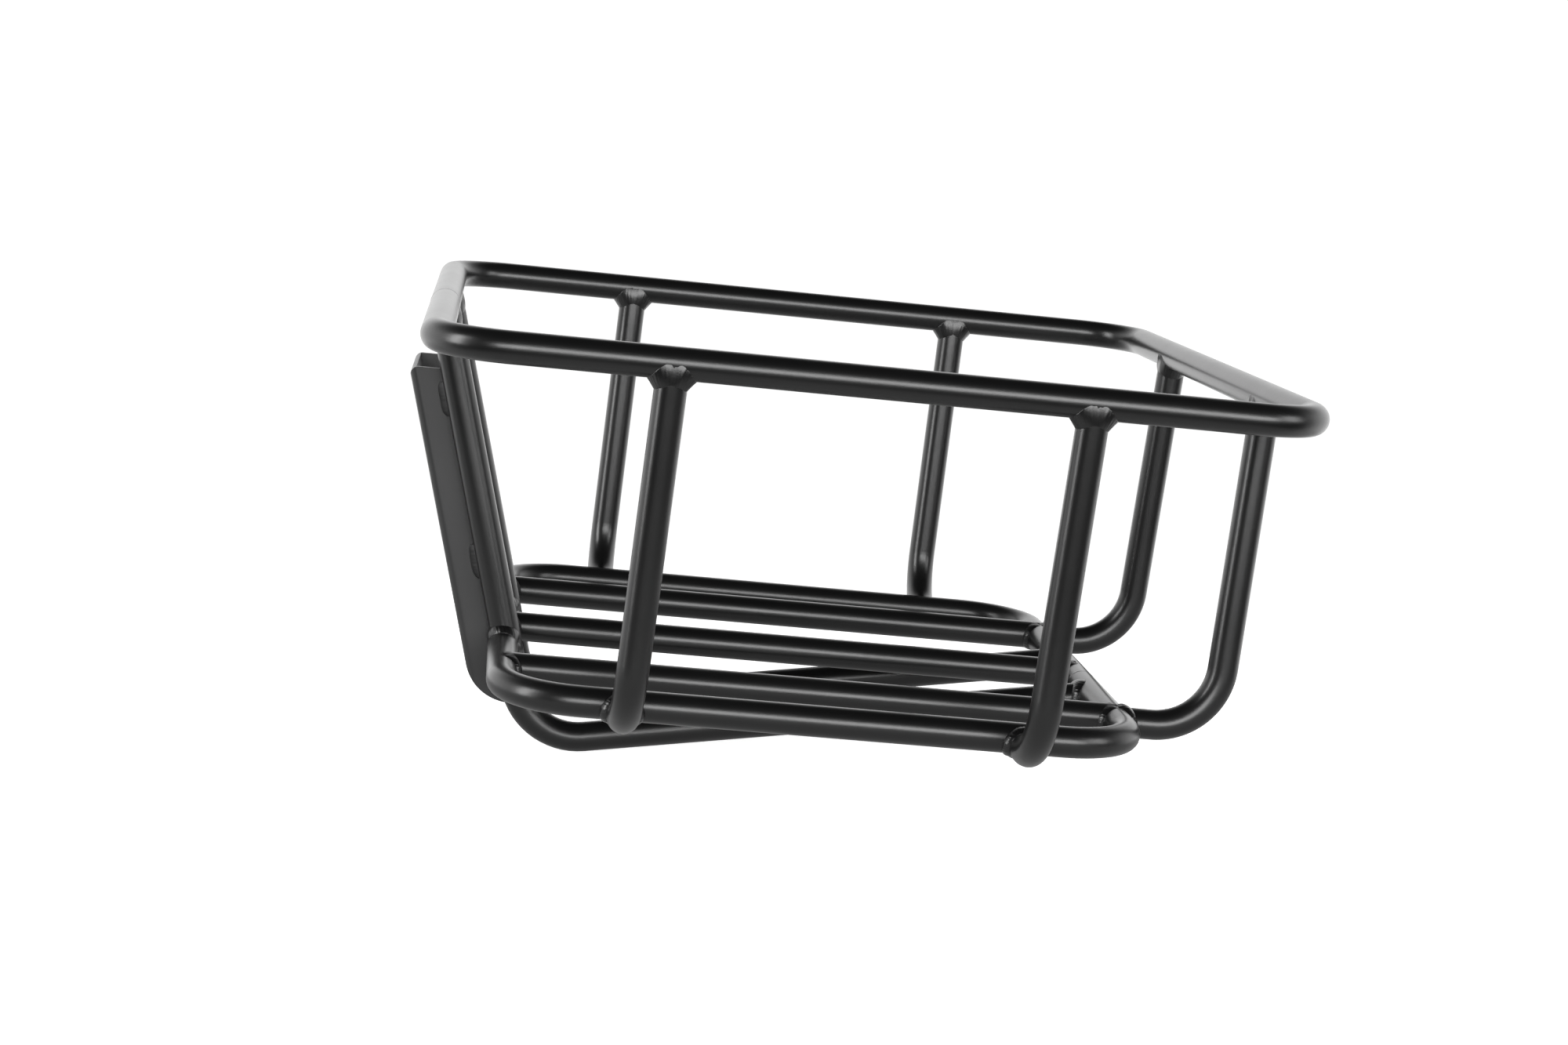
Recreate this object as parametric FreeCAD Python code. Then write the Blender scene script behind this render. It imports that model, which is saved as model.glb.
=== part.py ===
"""Front carrier basket for a bicycle: a welded frame of round tube on a U-channel bracket.

Axes: +X points forward (away from the bicycle), +Y to the rider's left, +Z up, and both
rims are level.  The origin is the centre of the four bolt holes, on the rear face of the
bracket, where the carrier meets the bicycle.  All sizes are millimetres.

The shape is drawn in a basket frame whose origin is the centre of the top rim, and every
piece is moved to the bracket's frame when it is written.
"""
import FreeCAD, Part
import math
import os

V = FreeCAD.Vector

# ---------------------------------------------------------------- tube stock
TUBE_D = 12.0               # outside diameter of every tube
TUBE_WALL = 1.5             # wall of every tube
BEND_R = 26.0               # centreline radius of the bends in uprights and struts

# ---------------------------------------------------------------- floor (rail axes)
FLOOR_LENGTH = 242.0        # rear rail axis to front rail axis
FLOOR_WIDTH = 270.0         # side rail axis to side rail axis
FLOOR_CORNER_R = 30.0       # centreline radius of the floor rim's corners
FLOOR_BAR_INSET = 48.0      # side rail axis in to the outer floor bar
FLOOR_BAR_LIFT = 0.8        # floor bars' axes above the floor rim's axis

# ---------------------------------------------------------------- basket walls
DEPTH = 133.0               # top rim axis above floor rim axis
TOP_CORNER_R = 27.0         # centreline radius of the top rim's corners
SIDE_STUB = 33.3            # side rail axis out to the foot of a side upright
SIDE_LEAN = 7.7             # further out at the top rim
SIDE_INSET = 45.0           # end rail axis to the nearest side upright
SIDE_RAKE = 4.0             # side uprights' tops ahead of their feet
SIDE_DROP = 2.3             # side stubs' axes below the floor rim's axis
FRONT_STUB = 40.2           # front rail axis out to the foot of a front upright
FRONT_LEAN = 5.3            # further out at the top rim
FRONT_SPLAY = 3.5           # front uprights closer together at the top, each
FRONT_DROP = 0.3            # front stubs' axes below the floor rim's axis
REAR_RAKE = 15.6            # lean of the rear uprights, degrees from vertical
REAR_FOOT_AHEAD = 2.0       # rear upright's axis ahead of the floor rail's axis

# ---------------------------------------------------------------- struts under the floor
STRUT_KNEE_DROP = 39.4      # knee of the strut below the floor rim's axis
STRUT_END_DROP = 1.0        # strut's front end below the front rail's axis

# ---------------------------------------------------------------- mounting channel
CHANNEL_WIDTH = 60.0        # across the outsides of its flanges
CHANNEL_DEPTH = 20.0        # rear face to the flanges' free edges
CHANNEL_SHEET = 3.0         # sheet thickness
CHANNEL_BEND_R = 3.0        # outside radius of the folds
CHANNEL_LIP = 1.6           # flanges' free edges ahead of the rear uprights' axes
CHANNEL_TOP_GAP = 25.0      # top edge below the top rim's axis
CHANNEL_HEEL = 11.0         # where the web ends, below the floor rim's axis
CHANNEL_TOE = 25.5          # lowest point of the flanges, below the floor rim's axis
CHANNEL_TOE_R = 20.0        # radius of the flanges' lower rear corners
CHANNEL_CROWN_R = 3.0       # radius of their upper rear corners
BOLT_SPACING = 40.0         # side of the square of bolt holes
BOLT_HOLE_D = 6.6           # clearance hole for a 6 mm bolt

# ---------------------------------------------------------------- welds
BEAD = 2.2                  # how far a tube-to-tube bead stands off the coped tube
BEAD_CLIMB = 2.5            # how far it climbs off the rail, up the coped tube
BEAD_REACH = 26.0           # no bead reaches further than this from its joint
FLANGE_CLEARANCE = 0.3      # between a tube-to-tube bead and the channel's flange
STITCH_LENGTH = 13.0        # stitch between a channel flange and a tube
STITCH_R = 4.5              # radius of a stitch's rounded face
STITCH_TOP = 11.5           # centre of the top stitch below the channel's top edge
STITCH_ABOVE_FLOOR = 33.5   # centre of the lower stitch above the floor rim's axis
STITCH_BELOW_FLOOR = 16.0   # centre of the strut's stitch below the floor rim's axis

# ---------------------------------------------------------------- places that follow
TUBE_R = TUBE_D / 2
FLOOR_Z = -DEPTH
FLOOR_BAR_PITCH = FLOOR_WIDTH / 2 - FLOOR_BAR_INSET
TOP_WIDTH = FLOOR_WIDTH + 2 * (SIDE_STUB + SIDE_LEAN)
RAKE_DIR = V(math.sin(math.radians(REAR_RAKE)), 0, -math.cos(math.radians(REAR_RAKE)))
RAKE_OUT = V(-math.cos(math.radians(REAR_RAKE)), 0, -math.sin(math.radians(REAR_RAKE)))
REAR_RUN = DEPTH * math.tan(math.radians(REAR_RAKE))
TOP_LENGTH = FLOOR_LENGTH + FRONT_STUB + FRONT_LEAN + REAR_RUN - REAR_FOOT_AHEAD
TOP_FRONT_X = TOP_LENGTH / 2
TOP_REAR_X = -TOP_LENGTH / 2
FLOOR_FRONT_X = TOP_FRONT_X - FRONT_LEAN - FRONT_STUB
FLOOR_REAR_X = FLOOR_FRONT_X - FLOOR_LENGTH
FLOOR_MID_X = (FLOOR_FRONT_X + FLOOR_REAR_X) / 2
REAR_Y = CHANNEL_WIDTH / 2 + TUBE_R
CHANNEL_SETBACK = CHANNEL_DEPTH - CHANNEL_LIP


def on_rear_line(z):
    """Point of the rear uprights' centre plane at height z."""
    return V(TOP_REAR_X - z * math.tan(math.radians(REAR_RAKE)), 0, z)


def on_web(z):
    """Point of the channel's rear face at height z."""
    start = on_rear_line(0) + RAKE_OUT * CHANNEL_SETBACK
    return start + RAKE_DIR * ((start.z - z) / -RAKE_DIR.z)


CHANNEL_TOP_Z = -CHANNEL_TOP_GAP
CHANNEL_HEEL_Z = FLOOR_Z - CHANNEL_HEEL
ORIGIN = on_web((CHANNEL_TOP_Z + CHANNEL_HEEL_Z) / 2)


# ---------------------------------------------------------------- tube making
def rounded(points, radius, closed=False):
    """A route with its corners rounded, as a list of straight runs and tangent arcs.

    A run is ("run", start, end), and an arc is ("arc", start, direction, centre, axis, angle).
    """
    count = len(points)
    corners = range(count) if closed else range(1, count - 1)
    bends = {}
    for i in corners:
        before = (points[i - 1] - points[i]).normalize()
        after = (points[(i + 1) % count] - points[i]).normalize()
        half = before.getAngle(after) / 2
        reach = radius / math.tan(half)
        start = points[i] + before * reach
        end = points[i] + after * reach
        centre = points[i] + (before + after).normalize() * (radius / math.sin(half))
        axis = (before * -1).cross(after)
        bends[i] = (start, end, centre, axis, 180 - math.degrees(2 * half))
    pieces = []
    for i in range(count if closed else count - 1):
        j = (i + 1) % count
        a = bends[i][1] if i in bends else points[i]
        b = bends[j][0] if j in bends else points[j]
        pieces.append(("run", a, b))
        if j in bends:
            start, _, centre, axis, angle = bends[j]
            pieces.append(("arc", start, b - a, centre, axis, angle))
    return pieces


def disc(centre, direction, radius, bore):
    """Flat disc, or ring where there is a bore."""
    wires = [Part.Wire(Part.makeCircle(r, centre, direction)) for r in (radius, bore) if r]
    return Part.Face(wires, "Part::FaceMakerBullseye")


def swept(pieces, radius, bore=0.0):
    """Round bar, or tube where there is a bore, along the runs and arcs of a route."""
    solids = []
    for piece in pieces:
        if piece[0] == "run":
            _, a, b = piece
            solids.append(disc(a, b - a, radius, bore).extrude(b - a))
        else:
            _, start, direction, centre, axis, angle = piece
            solids.append(disc(start, direction, radius, bore).revolve(centre, axis, angle))
    whole = solids[0]
    if len(solids) > 1:
        whole = whole.fuse(solids[1:])
    return largest(whole)


class Tube:
    """A tube of the common stock: its route, its full bar and its hollow body."""

    def __init__(self, points, radius=BEND_R, closed=False):
        self.route = rounded(points, radius, closed)
        self.bar = swept(self.route, TUBE_R)
        self.body = swept(self.route, TUBE_R, TUBE_R - TUBE_WALL)
        self.halo = swept(self.route, TUBE_R + (BEAD_CLIMB if closed else BEAD))

    def cope(self, *others):
        """Cut the ends to the outside of the tubes that they are welded to."""
        body = self.body
        bar = self.bar
        halo = self.halo
        for other in others:
            body = body.cut(other.bar)
            bar = bar.cut(other.bar)
            halo = halo.cut(other.bar)
        self.body = largest(body)
        self.bar = largest(bar)
        self.halo = largest(halo)


def largest(shape):
    """The biggest solid of a shape, so that offcuts beyond a cope are dropped."""
    solid = max(shape.Solids, key=lambda s: abs(s.Volume))
    return solid if solid.Volume > 0 else solid.reversed()


def bead(coped, rail, near, clear_of=None):
    """Weld bead round the end of a coped tube, where its halo meets the rail's halo."""
    corner = near - V(BEAD_REACH, BEAD_REACH, BEAD_REACH)
    block = Part.makeBox(2 * BEAD_REACH, 2 * BEAD_REACH, 2 * BEAD_REACH, corner)
    ring = coped.halo.common(block).common(rail.halo.common(block))
    ring = ring.cut(coped.bar).cut(rail.bar)
    if clear_of:
        ring = ring.cut(clear_of)
    return largest(ring)


# ---------------------------------------------------------------- the frame's tubes
def rim(length, width, mid_x, z, corner_r):
    """Closed rounded rectangle of tube."""
    corners = [V(mid_x + length / 2, width / 2, z), V(mid_x - length / 2, width / 2, z),
               V(mid_x - length / 2, -width / 2, z), V(mid_x + length / 2, -width / 2, z)]
    return Tube(corners, corner_r, closed=True)


def side_upright(side, end):
    """Hangs from a side rail of the top rim and turns in to a side rail of the floor."""
    foot_x = FLOOR_MID_X + end * (FLOOR_LENGTH / 2 - SIDE_INSET)
    foot_z = FLOOR_Z - SIDE_DROP
    points = [V(foot_x + SIDE_RAKE, side * TOP_WIDTH / 2, 0),
              V(foot_x, side * (FLOOR_WIDTH / 2 + SIDE_STUB), foot_z),
              V(foot_x, side * FLOOR_WIDTH / 2, foot_z)]
    return points


def front_upright(side):
    """Hangs from the front rail of the top rim and turns back to the floor's front rail."""
    foot_y = side * FLOOR_BAR_PITCH
    points = [V(TOP_FRONT_X, foot_y - side * FRONT_SPLAY, 0),
              V(TOP_FRONT_X - FRONT_LEAN, foot_y, FLOOR_Z - FRONT_DROP),
              V(FLOOR_FRONT_X, foot_y, FLOOR_Z - FRONT_DROP)]
    return points


def rear_upright(side):
    """Straight tube on the outside of a channel flange, top rim to floor rim."""
    offset = V(0, side * REAR_Y, 0)
    return [on_rear_line(0) + offset, on_rear_line(FLOOR_Z) + offset]


def under_strut(side):
    """Carries on below the rear rail, bends forward and rises to the floor's front rail."""
    offset = V(0, side * REAR_Y, 0)
    return [on_rear_line(FLOOR_Z) + offset,
            on_rear_line(FLOOR_Z - STRUT_KNEE_DROP) + offset,
            V(FLOOR_FRONT_X, side * REAR_Y, FLOOR_Z - STRUT_END_DROP)]


def floor_bar(place):
    """Straight bar of the floor, from the rear rail to the front rail."""
    y = place * FLOOR_BAR_PITCH
    z = FLOOR_Z + FLOOR_BAR_LIFT
    return [V(FLOOR_REAR_X, y, z), V(FLOOR_FRONT_X, y, z)]


# ---------------------------------------------------------------- mounting channel
def channel(rail):
    """Folded U-channel, open to the front, holed for the bolts and notched for the rear rail."""
    half = CHANNEL_WIDTH / 2
    top = on_web(CHANNEL_TOP_Z + CHANNEL_DEPTH)
    low = on_web(FLOOR_Z - CHANNEL_TOE - CHANNEL_DEPTH)
    along = low - top
    outer = [top + V(0, y, 0) + RAKE_OUT * -out for y, out in
             ((-half, CHANNEL_DEPTH), (-half, 0), (half, 0), (half, CHANNEL_DEPTH))]
    block = Part.Face(Part.makePolygon(outer + outer[:1])).extrude(along)
    folds = [e for e in block.Edges
             if abs(abs(e.CenterOfMass.y) - half) < 0.01 and is_on_web(e.CenterOfMass)]
    block = block.makeFillet(CHANNEL_BEND_R, folds)
    inner_half = half - CHANNEL_SHEET
    inner = [top + V(0, y, 0) + RAKE_OUT * -out for y, out in
             ((-inner_half, 2 * CHANNEL_DEPTH), (-inner_half, CHANNEL_SHEET),
              (inner_half, CHANNEL_SHEET), (inner_half, 2 * CHANNEL_DEPTH))]
    hollow = Part.Face(Part.makePolygon(inner + inner[:1])).extrude(along)
    body = block.cut(hollow).common(side_outline())
    body = body.cut(heel_opening())
    for y in (-1, 1):
        for step in (-1, 1):
            centre = ORIGIN + V(0, y * BOLT_SPACING / 2, 0) + RAKE_DIR * (step * BOLT_SPACING / 2)
            start = centre + RAKE_OUT * CHANNEL_SHEET
            drill = Part.makeCylinder(BOLT_HOLE_D / 2, 3 * CHANNEL_SHEET, start, RAKE_OUT * -1)
            body = body.cut(drill)
    return largest(body.cut(rail.bar))


def is_on_web(point):
    """True where a point lies on the channel's rear face."""
    return abs((point - ORIGIN).dot(RAKE_OUT)) < 0.01


def side_outline():
    """Side view of the channel: level top and toe, with both rear corners rounded."""
    shift = V(0, -CHANNEL_WIDTH, 0)
    toe_z = FLOOR_Z - CHANNEL_TOE
    top = on_web(CHANNEL_TOP_Z) + shift
    low = on_web(toe_z) + shift
    far_low = V(low.x + 2 * CHANNEL_DEPTH, low.y, toe_z)
    far_top = V(top.x + 2 * CHANNEL_DEPTH, top.y, CHANNEL_TOP_Z)
    crown_start, crown = rounded_corner(far_top, top, low, CHANNEL_CROWN_R)
    crown_end = crown.Vertexes[-1].Point
    toe_start, toe = rounded_corner(top, low, far_low, CHANNEL_TOE_R)
    toe_end = toe.Vertexes[-1].Point
    edges = [crown, Part.makeLine(crown_end, toe_start), toe, Part.makeLine(toe_end, far_low),
             Part.makeLine(far_low, far_top), Part.makeLine(far_top, crown_start)]
    return Part.Face(Part.Wire(edges)).extrude(V(0, 2 * CHANNEL_WIDTH, 0))


def rounded_corner(before, corner, after, radius):
    """Start and arc of a rounded corner between two straight edges."""
    back = (before - corner).normalize()
    ahead = (after - corner).normalize()
    half = back.getAngle(ahead) / 2
    start = corner + back * (radius / math.tan(half))
    end = corner + ahead * (radius / math.tan(half))
    inward = (back + ahead).normalize()
    middle = corner + inward * (radius / math.sin(half) - radius)
    return start, Part.Arc(start, middle, end).toShape()


def heel_opening():
    """Removes the web below the heel, between the flanges."""
    inner_width = CHANNEL_WIDTH - 2 * CHANNEL_SHEET
    corner = on_web(CHANNEL_HEEL_Z)
    length = 2 * (CHANNEL_TOE + CHANNEL_DEPTH)
    start = corner + V(0, -inner_width / 2, 0) + RAKE_OUT * CHANNEL_DEPTH
    across = start + V(0, inner_width, 0)
    face = Part.Face(Part.makePolygon([start, across, across + RAKE_DIR * length,
                                       start + RAKE_DIR * length, start]))
    return face.extrude(RAKE_OUT * -(2 * CHANNEL_DEPTH))


def stitch(side, z, tube):
    """Stitch weld in the groove between a flange's outside and the tube beside it."""
    face_y = side * CHANNEL_WIDTH / 2
    middle = on_rear_line(z) + V(0, face_y, 0) + RAKE_OUT * TUBE_R
    start = middle - RAKE_DIR * (STITCH_LENGTH / 2)
    roll = Part.makeCylinder(STITCH_R, STITCH_LENGTH, start, RAKE_DIR)
    return largest(roll.cut(tube.bar).cut(inside_flange(side)))


def inside_flange(side, clearance=0.0):
    """Everything on the inner side of one flange's outer face, up to a clearance off it."""
    size = TOP_LENGTH + 2 * DEPTH
    low_y = -size if side > 0 else 0
    face_y = side * (CHANNEL_WIDTH / 2 + clearance)
    return Part.makeBox(size, size, 2 * size, V(-size / 2, low_y + face_y, -size))


# ---------------------------------------------------------------- assembly
def export(name, shapes):
    """Write one node, moved to the bracket's frame."""
    solids = [s.copy() for s in shapes]
    for solid in solids:
        solid.translate(ORIGIN * -1)
    shape = solids[0] if len(solids) == 1 else Part.makeCompound(solids)
    assert shape.isValid(), name
    shape.exportStep("parts/%s.step" % name)


def main():
    os.makedirs("parts", exist_ok=True)
    sides = (("left", 1), ("right", -1))
    ends = (("rear", -1), ("front", 1))

    top = rim(TOP_LENGTH, TOP_WIDTH, 0, 0, TOP_CORNER_R)
    floor = rim(FLOOR_LENGTH, FLOOR_WIDTH, FLOOR_MID_X, FLOOR_Z, FLOOR_CORNER_R)
    bracket = channel(floor)
    welds = {"top_rim_welds": [], "floor_side_welds": [], "floor_end_welds": [],
             "floor_bar_welds": [], "strut_welds": [], "channel_welds": []}
    nodes = {"top_rim": top.body, "floor_rim": floor.body, "mounting_channel": bracket}

    def add_upright(name, points, weld_group, clear_of=None):
        tube = Tube(points)
        tube.cope(top, floor)
        nodes[name] = tube.body
        welds["top_rim_welds"].append(bead(tube, top, points[0]))
        welds[weld_group].append(bead(tube, floor, points[-1], clear_of))
        return tube

    for side_name, side in sides:
        for end_name, end in ends:
            add_upright("side_upright_%s_%s" % (side_name, end_name),
                        side_upright(side, end), "floor_side_welds")
        add_upright("front_upright_%s" % side_name, front_upright(side), "floor_end_welds")
        inner = inside_flange(side, FLANGE_CLEARANCE)
        rear = add_upright("rear_upright_%s" % side_name, rear_upright(side),
                           "floor_end_welds", inner)

        points = under_strut(side)
        strut = Tube(points)
        strut.cope(floor)
        nodes["under_strut_%s" % side_name] = strut.body
        welds["strut_welds"].append(bead(strut, floor, points[0], inner))
        welds["strut_welds"].append(bead(strut, floor, points[-1]))

        for z, tube in ((CHANNEL_TOP_Z - STITCH_TOP, rear),
                        (FLOOR_Z + STITCH_ABOVE_FLOOR, rear),
                        (FLOOR_Z - STITCH_BELOW_FLOOR, strut)):
            welds["channel_welds"].append(stitch(side, z, tube))

    for name, place in (("left", 1), ("centre", 0), ("right", -1)):
        points = floor_bar(place)
        bar = Tube(points)
        bar.cope(floor)
        nodes["floor_bar_%s" % name] = bar.body
        for point in points:
            welds["floor_bar_welds"].append(bead(bar, floor, point))

    for name, shape in nodes.items():
        export(name, [shape])
    for name, shapes in welds.items():
        export(name, shapes)


main()
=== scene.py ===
"""A bicycle's front carrier basket: welded round tube on a folded head bracket.

Lengths are metres in the carrier's own frame: +X points away from the bicycle, +Y to the
rider's left and +Z up.  The origin is the centre of the bracket's four bolt holes.
"""

import logging
import math
from dataclasses import dataclass, field
from enum import Enum
from typing import Any, Optional

import bmesh
import bpy
from mathutils import Matrix, Vector


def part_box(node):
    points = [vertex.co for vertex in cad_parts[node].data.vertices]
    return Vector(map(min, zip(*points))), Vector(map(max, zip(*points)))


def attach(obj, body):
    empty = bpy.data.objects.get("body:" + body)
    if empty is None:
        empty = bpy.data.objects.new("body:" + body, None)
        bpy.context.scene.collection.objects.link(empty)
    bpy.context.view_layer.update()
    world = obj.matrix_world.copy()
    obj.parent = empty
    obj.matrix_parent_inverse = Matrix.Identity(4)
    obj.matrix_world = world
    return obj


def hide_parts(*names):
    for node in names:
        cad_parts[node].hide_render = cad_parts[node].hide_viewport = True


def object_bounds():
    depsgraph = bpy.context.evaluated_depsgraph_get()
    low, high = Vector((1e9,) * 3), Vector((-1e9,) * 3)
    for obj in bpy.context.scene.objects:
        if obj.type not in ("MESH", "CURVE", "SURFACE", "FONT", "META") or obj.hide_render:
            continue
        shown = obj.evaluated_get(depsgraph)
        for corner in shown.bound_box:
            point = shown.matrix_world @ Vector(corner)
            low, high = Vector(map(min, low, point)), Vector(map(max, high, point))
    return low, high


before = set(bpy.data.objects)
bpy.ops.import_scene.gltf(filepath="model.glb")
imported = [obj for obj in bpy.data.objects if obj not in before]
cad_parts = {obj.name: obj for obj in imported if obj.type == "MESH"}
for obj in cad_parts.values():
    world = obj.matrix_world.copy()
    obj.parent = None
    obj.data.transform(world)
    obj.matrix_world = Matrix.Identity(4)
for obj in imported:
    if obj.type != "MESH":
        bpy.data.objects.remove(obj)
CAD_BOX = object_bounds()

LOG = logging.getLogger("carrier")
BODY = "root"
LEFT, RIGHT = 1.0, -1.0
X_AXIS = Vector((1.0, 0.0, 0.0))
Y_AXIS = Vector((0.0, 1.0, 0.0))


# ------------------------------------------------------------------ node trees
class Number:
    """A number in a node tree, on which an expression adds Math nodes."""

    def __init__(self, graph: "Graph", socket: bpy.types.NodeSocket) -> None:
        """Keep the tree's builder and the socket that gives the number."""
        self.graph = graph
        self.socket = socket

    def math(self, operation: str, *operands: Any) -> "Number":
        """Add a Math node.

        Args:
            operation: the Math node's operation.
            operands: numbers or sockets, in the node's order.

        Returns:
            The node's result.
        """
        values = dict(enumerate(operands))
        node = self.graph.node("ShaderNodeMath", {"operation": operation}, values)
        return Number(self.graph, node.outputs[0])

    def __add__(self, other: Any) -> "Number":
        """Sum."""
        return self.math("ADD", self, other)

    __radd__ = __add__

    def __sub__(self, other: Any) -> "Number":
        """Difference."""
        return self.math("SUBTRACT", self, other)

    def __rsub__(self, other: Any) -> "Number":
        """Difference from a plain number."""
        return self.math("SUBTRACT", other, self)

    def __mul__(self, other: Any) -> "Number":
        """Product."""
        return self.math("MULTIPLY", self, other)

    __rmul__ = __mul__

    def __truediv__(self, other: Any) -> "Number":
        """Quotient."""
        return self.math("DIVIDE", self, other)

    def __gt__(self, other: Any) -> "Number":
        """1 where this is the greater, else 0."""
        return self.math("GREATER_THAN", self, other)

    def __abs__(self) -> "Number":
        """Size without its sign."""
        return self.math("ABSOLUTE", self)

    def wave(self) -> "Number":
        """Sine of the number, in radians."""
        return self.math("SINE", self)

    def rounded(self) -> "Number":
        """Nearest whole number."""
        return self.math("ROUND", self)

    def between(self, low: float, high: float) -> "Number":
        """0 up to low, 1 from high, and a smooth rise between them."""
        node = self.graph.node("ShaderNodeMapRange", {"interpolation_type": "SMOOTHSTEP"},
                               {"Value": self, "From Min": low, "From Max": high})
        return Number(self.graph, node.outputs[0])


class Arrow:
    """A vector in a node tree, on which an expression adds Vector Math nodes."""

    def __init__(self, graph: "Graph", socket: bpy.types.NodeSocket) -> None:
        """Keep the tree's builder and the socket that gives the vector."""
        self.graph = graph
        self.socket = socket

    def vector_math(self, operation: str, *operands: Any) -> bpy.types.Node:
        """Add a Vector Math node on these operands and return it."""
        values = dict(enumerate(operands))
        return self.graph.node("ShaderNodeVectorMath", {"operation": operation}, values)

    def __add__(self, other: "Arrow") -> "Arrow":
        """Sum."""
        return Arrow(self.graph, self.vector_math("ADD", self, other).outputs[0])

    def __sub__(self, other: "Arrow") -> "Arrow":
        """Difference."""
        return Arrow(self.graph, self.vector_math("SUBTRACT", self, other).outputs[0])

    def __mul__(self, factor: Any) -> "Arrow":
        """The vector made longer or shorter."""
        node = self.vector_math("SCALE", self)
        self.graph.set_input(node, "Scale", factor)
        return Arrow(self.graph, node.outputs[0])

    __rmul__ = __mul__


class Graph:
    """Builds one node tree."""

    def __init__(self, tree: bpy.types.NodeTree) -> None:
        """Keep the tree that nodes are added to."""
        self.tree = tree

    def set_input(self, node: bpy.types.Node, key: Any, value: Any) -> None:
        """Set or link one input.

        Args:
            node: the node.
            key: the input's name or index.
            value: a plain value, or a Number, Arrow or socket to link.
        """
        socket = node.inputs[key]
        source = getattr(value, "socket", value)
        if isinstance(source, bpy.types.NodeSocket):
            self.tree.links.new(source, socket)
        else:
            socket.default_value = source

    def node(self, kind: str, settings: Optional[dict] = None,
             values: Optional[dict] = None) -> bpy.types.Node:
        """Add a node.

        Args:
            kind: the node's type.
            settings: its properties, which are set first.
            values: its inputs by name or index, as plain values or links.

        Returns:
            The new node.
        """
        node = self.tree.nodes.new(kind)
        for name, value in (settings or {}).items():
            setattr(node, name, value)
        for key, value in (values or {}).items():
            self.set_input(node, key, value)
        return node

    def noise(self, where: Any, scale: float, detail: float = 2.0,
              roughness: float = 0.5) -> Number:
        """Noise from 0 to 1 over a place, with so many cells to the metre."""
        node = self.node("ShaderNodeTexNoise", {}, {"Vector": where, "Scale": scale,
                                                    "Detail": detail,
                                                    "Roughness": roughness})
        return Number(self, node.outputs[0])

    def attribute(self, name: str, kind: str) -> bpy.types.NodeSocket:
        """A named attribute of the geometry, as FLOAT or FLOAT_VECTOR."""
        node = self.node("GeometryNodeInputNamedAttribute", {"data_type": kind},
                         {"Name": name})
        return node.outputs[0]

    def stored(self, geometry: Any, name: str, value: Any) -> bpy.types.NodeSocket:
        """The geometry with a number kept on each point under a name."""
        node = self.node("GeometryNodeStoreNamedAttribute",
                         {"data_type": "FLOAT", "domain": "POINT"},
                         {"Geometry": geometry, "Name": name, "Value": value})
        return node.outputs[0]


# ------------------------------------------------------------------ finishes
@dataclass(frozen=True)
class PowderCoat:
    """Baked powder coat: nearly black, satin, with a fine orange peel."""

    name: str
    shade: float = 0.0026            # reflectance of the pigment; on the bracket and stitch coats it also carries painted light and painted shade
    roughness: float = 0.31
    roughness_spread: float = 0.06
    peel_size: float = 0.0019        # from one swell of the orange peel to the next
    peel_depth: float = 0.000016
    grain_size: float = 0.00042      # grain of the powder
    grain_depth: float = 0.000009
    cloud_size: float = 0.035        # patches that were cured a little differently
    nib_spacing: float = 0.0042      # dust nibs under the coat
    nib_radius: float = 0.00022
    nib_height: float = 0.000030
    darkest: float = 0.75            # patches' range, as shares of the shade
    lightest: float = 1.35
    cast: float = 1.02               # the coat is a little blue

    def material(self) -> bpy.types.Material:
        """Make the material.

        Returns:
            A material whose pattern follows the object's own coordinates.
        """
        made = bpy.data.materials.new(self.name)
        made.use_nodes = True
        made.node_tree.nodes.clear()
        graph = Graph(made.node_tree)
        place = graph.node("ShaderNodeTexCoord").outputs["Object"]

        clouds = graph.noise(place, 1.0 / self.cloud_size, 3.0, 0.6)
        peel = graph.noise(place, 1.0 / self.peel_size, 1.5)
        grain = graph.noise(place, 1.0 / self.grain_size, 1.0)
        nibs = self.nibs(graph, place)

        dark = self.shade * self.darkest
        light = self.shade * self.lightest
        colour = graph.node("ShaderNodeMix", {"data_type": "RGBA"},
                            {0: clouds, 6: (dark, dark, dark * self.cast, 1.0),
                             7: (light, light, light * self.cast, 1.0)})
        gloss = ((clouds - 0.5) * self.roughness_spread
                 + (grain - 0.5) * (self.roughness_spread * 0.9)
                 + self.roughness)

        height = ((peel - 0.5) * self.peel_depth + (grain - 0.5) * self.grain_depth
                  + nibs * self.nib_height)
        bump = graph.node("ShaderNodeBump", {}, {"Strength": 1.0, "Distance": 1.0,
                                                 "Height": height})
        surface = graph.node("ShaderNodeBsdfPrincipled", {},
                             {"Base Color": colour.outputs[2], "Roughness": gloss,
                              "Normal": bump.outputs[0], "IOR": 1.5})
        graph.node("ShaderNodeOutputMaterial", {}, {"Surface": surface.outputs[0]})
        return made

    def nibs(self, graph: Graph, place: Any) -> Number:
        """Round specks of dust, 1 in their middles and 0 between them.

        Args:
            graph: the material's tree.
            place: where the pattern is read.

        Returns:
            The specks' cover.
        """
        specks = graph.node("ShaderNodeTexVoronoi", {"feature": "F1"},
                            {"Vector": place, "Scale": 1.0 / self.nib_spacing,
                             "Randomness": 1.0})
        away = Number(graph, specks.outputs["Distance"])
        reach = self.nib_radius / self.nib_spacing
        return 1.0 - away.between(0.0, reach)


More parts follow.
